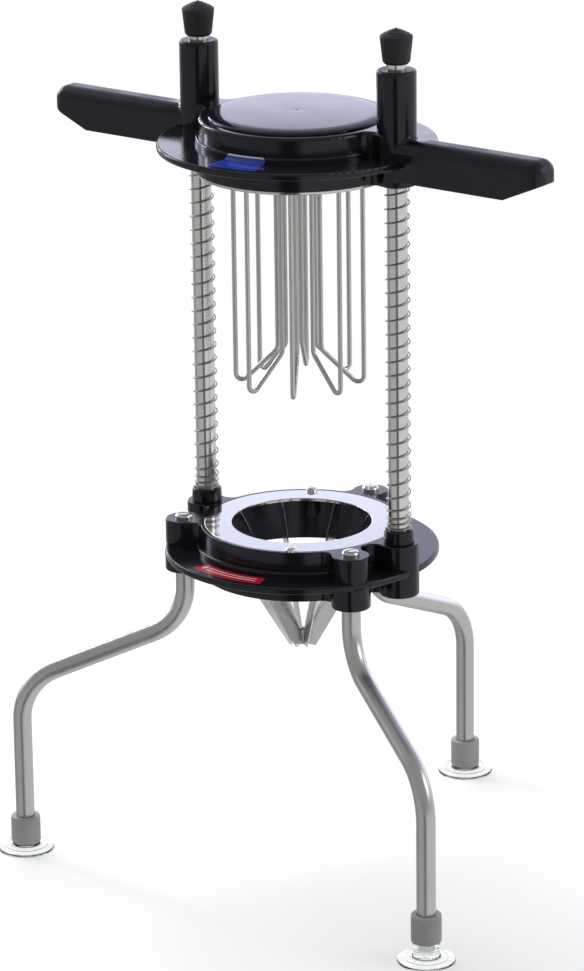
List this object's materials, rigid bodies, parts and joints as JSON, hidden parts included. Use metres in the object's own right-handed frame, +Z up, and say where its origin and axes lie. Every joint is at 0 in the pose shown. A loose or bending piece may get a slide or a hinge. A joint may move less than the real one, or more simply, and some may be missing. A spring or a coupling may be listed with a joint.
{
  "type": "fruit wedger press",
  "caption": "Free-standing hand press: a sprung head slides down two columns and its wire loops push a round fruit through a crown of slanted blades.",
  "frame": {"origin": "middle of the bounding box at floor level, on the plane the suction cups stand on; the press axis is 50.55 mm towards -Y from it", "axes": "+Z up along the columns, +X along the handles towards the right column, -Y towards the side with two legs, where the user stands"},
  "size_m": [0.41, 0.3434, 0.6142],
  "materials": {
    "black_moulding": "smooth semi-gloss black polyamide",
    "bumper_rubber": "matt black rubber",
    "tube_steel": "satin stainless steel tube",
    "polished_plate": "polished stainless steel sheet",
    "blade_steel": "ground stainless steel strip",
    "wire_steel": "drawn stainless steel wire",
    "spring_steel": "bright spring wire",
    "screw_steel": "bright stainless screws",
    "plug_steel": "plain turned steel",
    "clear_cup": "clear soft plastic",
    "grey_sleeve": "matt grey plastic"
  },
  "bodies": {
    "stand": {"base_ring": "black_moulding", "blade_plate": "polished_plate", "blade_hub": "blade_steel", "wedge_blade_1": "blade_steel", "wedge_blade_2": "blade_steel", "wedge_blade_3": "blade_steel", "wedge_blade_4": "blade_steel", "wedge_blade_5": "blade_steel", "wedge_blade_6": "blade_steel", "wedge_blade_7": "blade_steel", "wedge_blade_8": "blade_steel", "blade_plate_screws": "screw_steel", "rear_leg": "tube_steel", "rear_foot_cup": "clear_cup", "rear_foot_sleeve": "grey_sleeve", "left_leg": "tube_steel", "left_foot_cup": "clear_cup", "left_foot_sleeve": "grey_sleeve", "right_leg": "tube_steel", "right_foot_cup": "clear_cup", "right_foot_sleeve": "grey_sleeve", "leg_screws": "screw_steel", "leg_plugs": "plug_steel", "left_column": "tube_steel", "left_collar": "black_moulding", "left_spring": "spring_steel", "left_bumper": "bumper_rubber", "right_column": "tube_steel", "right_collar": "black_moulding", "right_spring": "spring_steel", "right_bumper": "bumper_rubber", "column_screws": "screw_steel", "column_plugs": "plug_steel"},
    "pusher": {"pusher_head": "black_moulding", "head_cap": "black_moulding", "pusher_plate": "polished_plate", "pusher_wire_1": "wire_steel", "pusher_wire_2": "wire_steel", "pusher_wire_3": "wire_steel", "pusher_wire_4": "wire_steel", "pusher_wire_5": "wire_steel", "pusher_wire_6": "wire_steel", "pusher_wire_7": "wire_steel", "pusher_wire_8": "wire_steel", "pusher_plate_screws": "screw_steel"}
  },
  "joints": [
    {"name": "pusher_slide", "type": "slide", "parent": "stand", "child": "pusher", "axis": [0, 0, -1], "range_m": [0, 0.215], "stiffness_N_per_m": 162, "springref_m": -0.068, "deforming": ["left_spring", "right_spring"]}
  ]
}
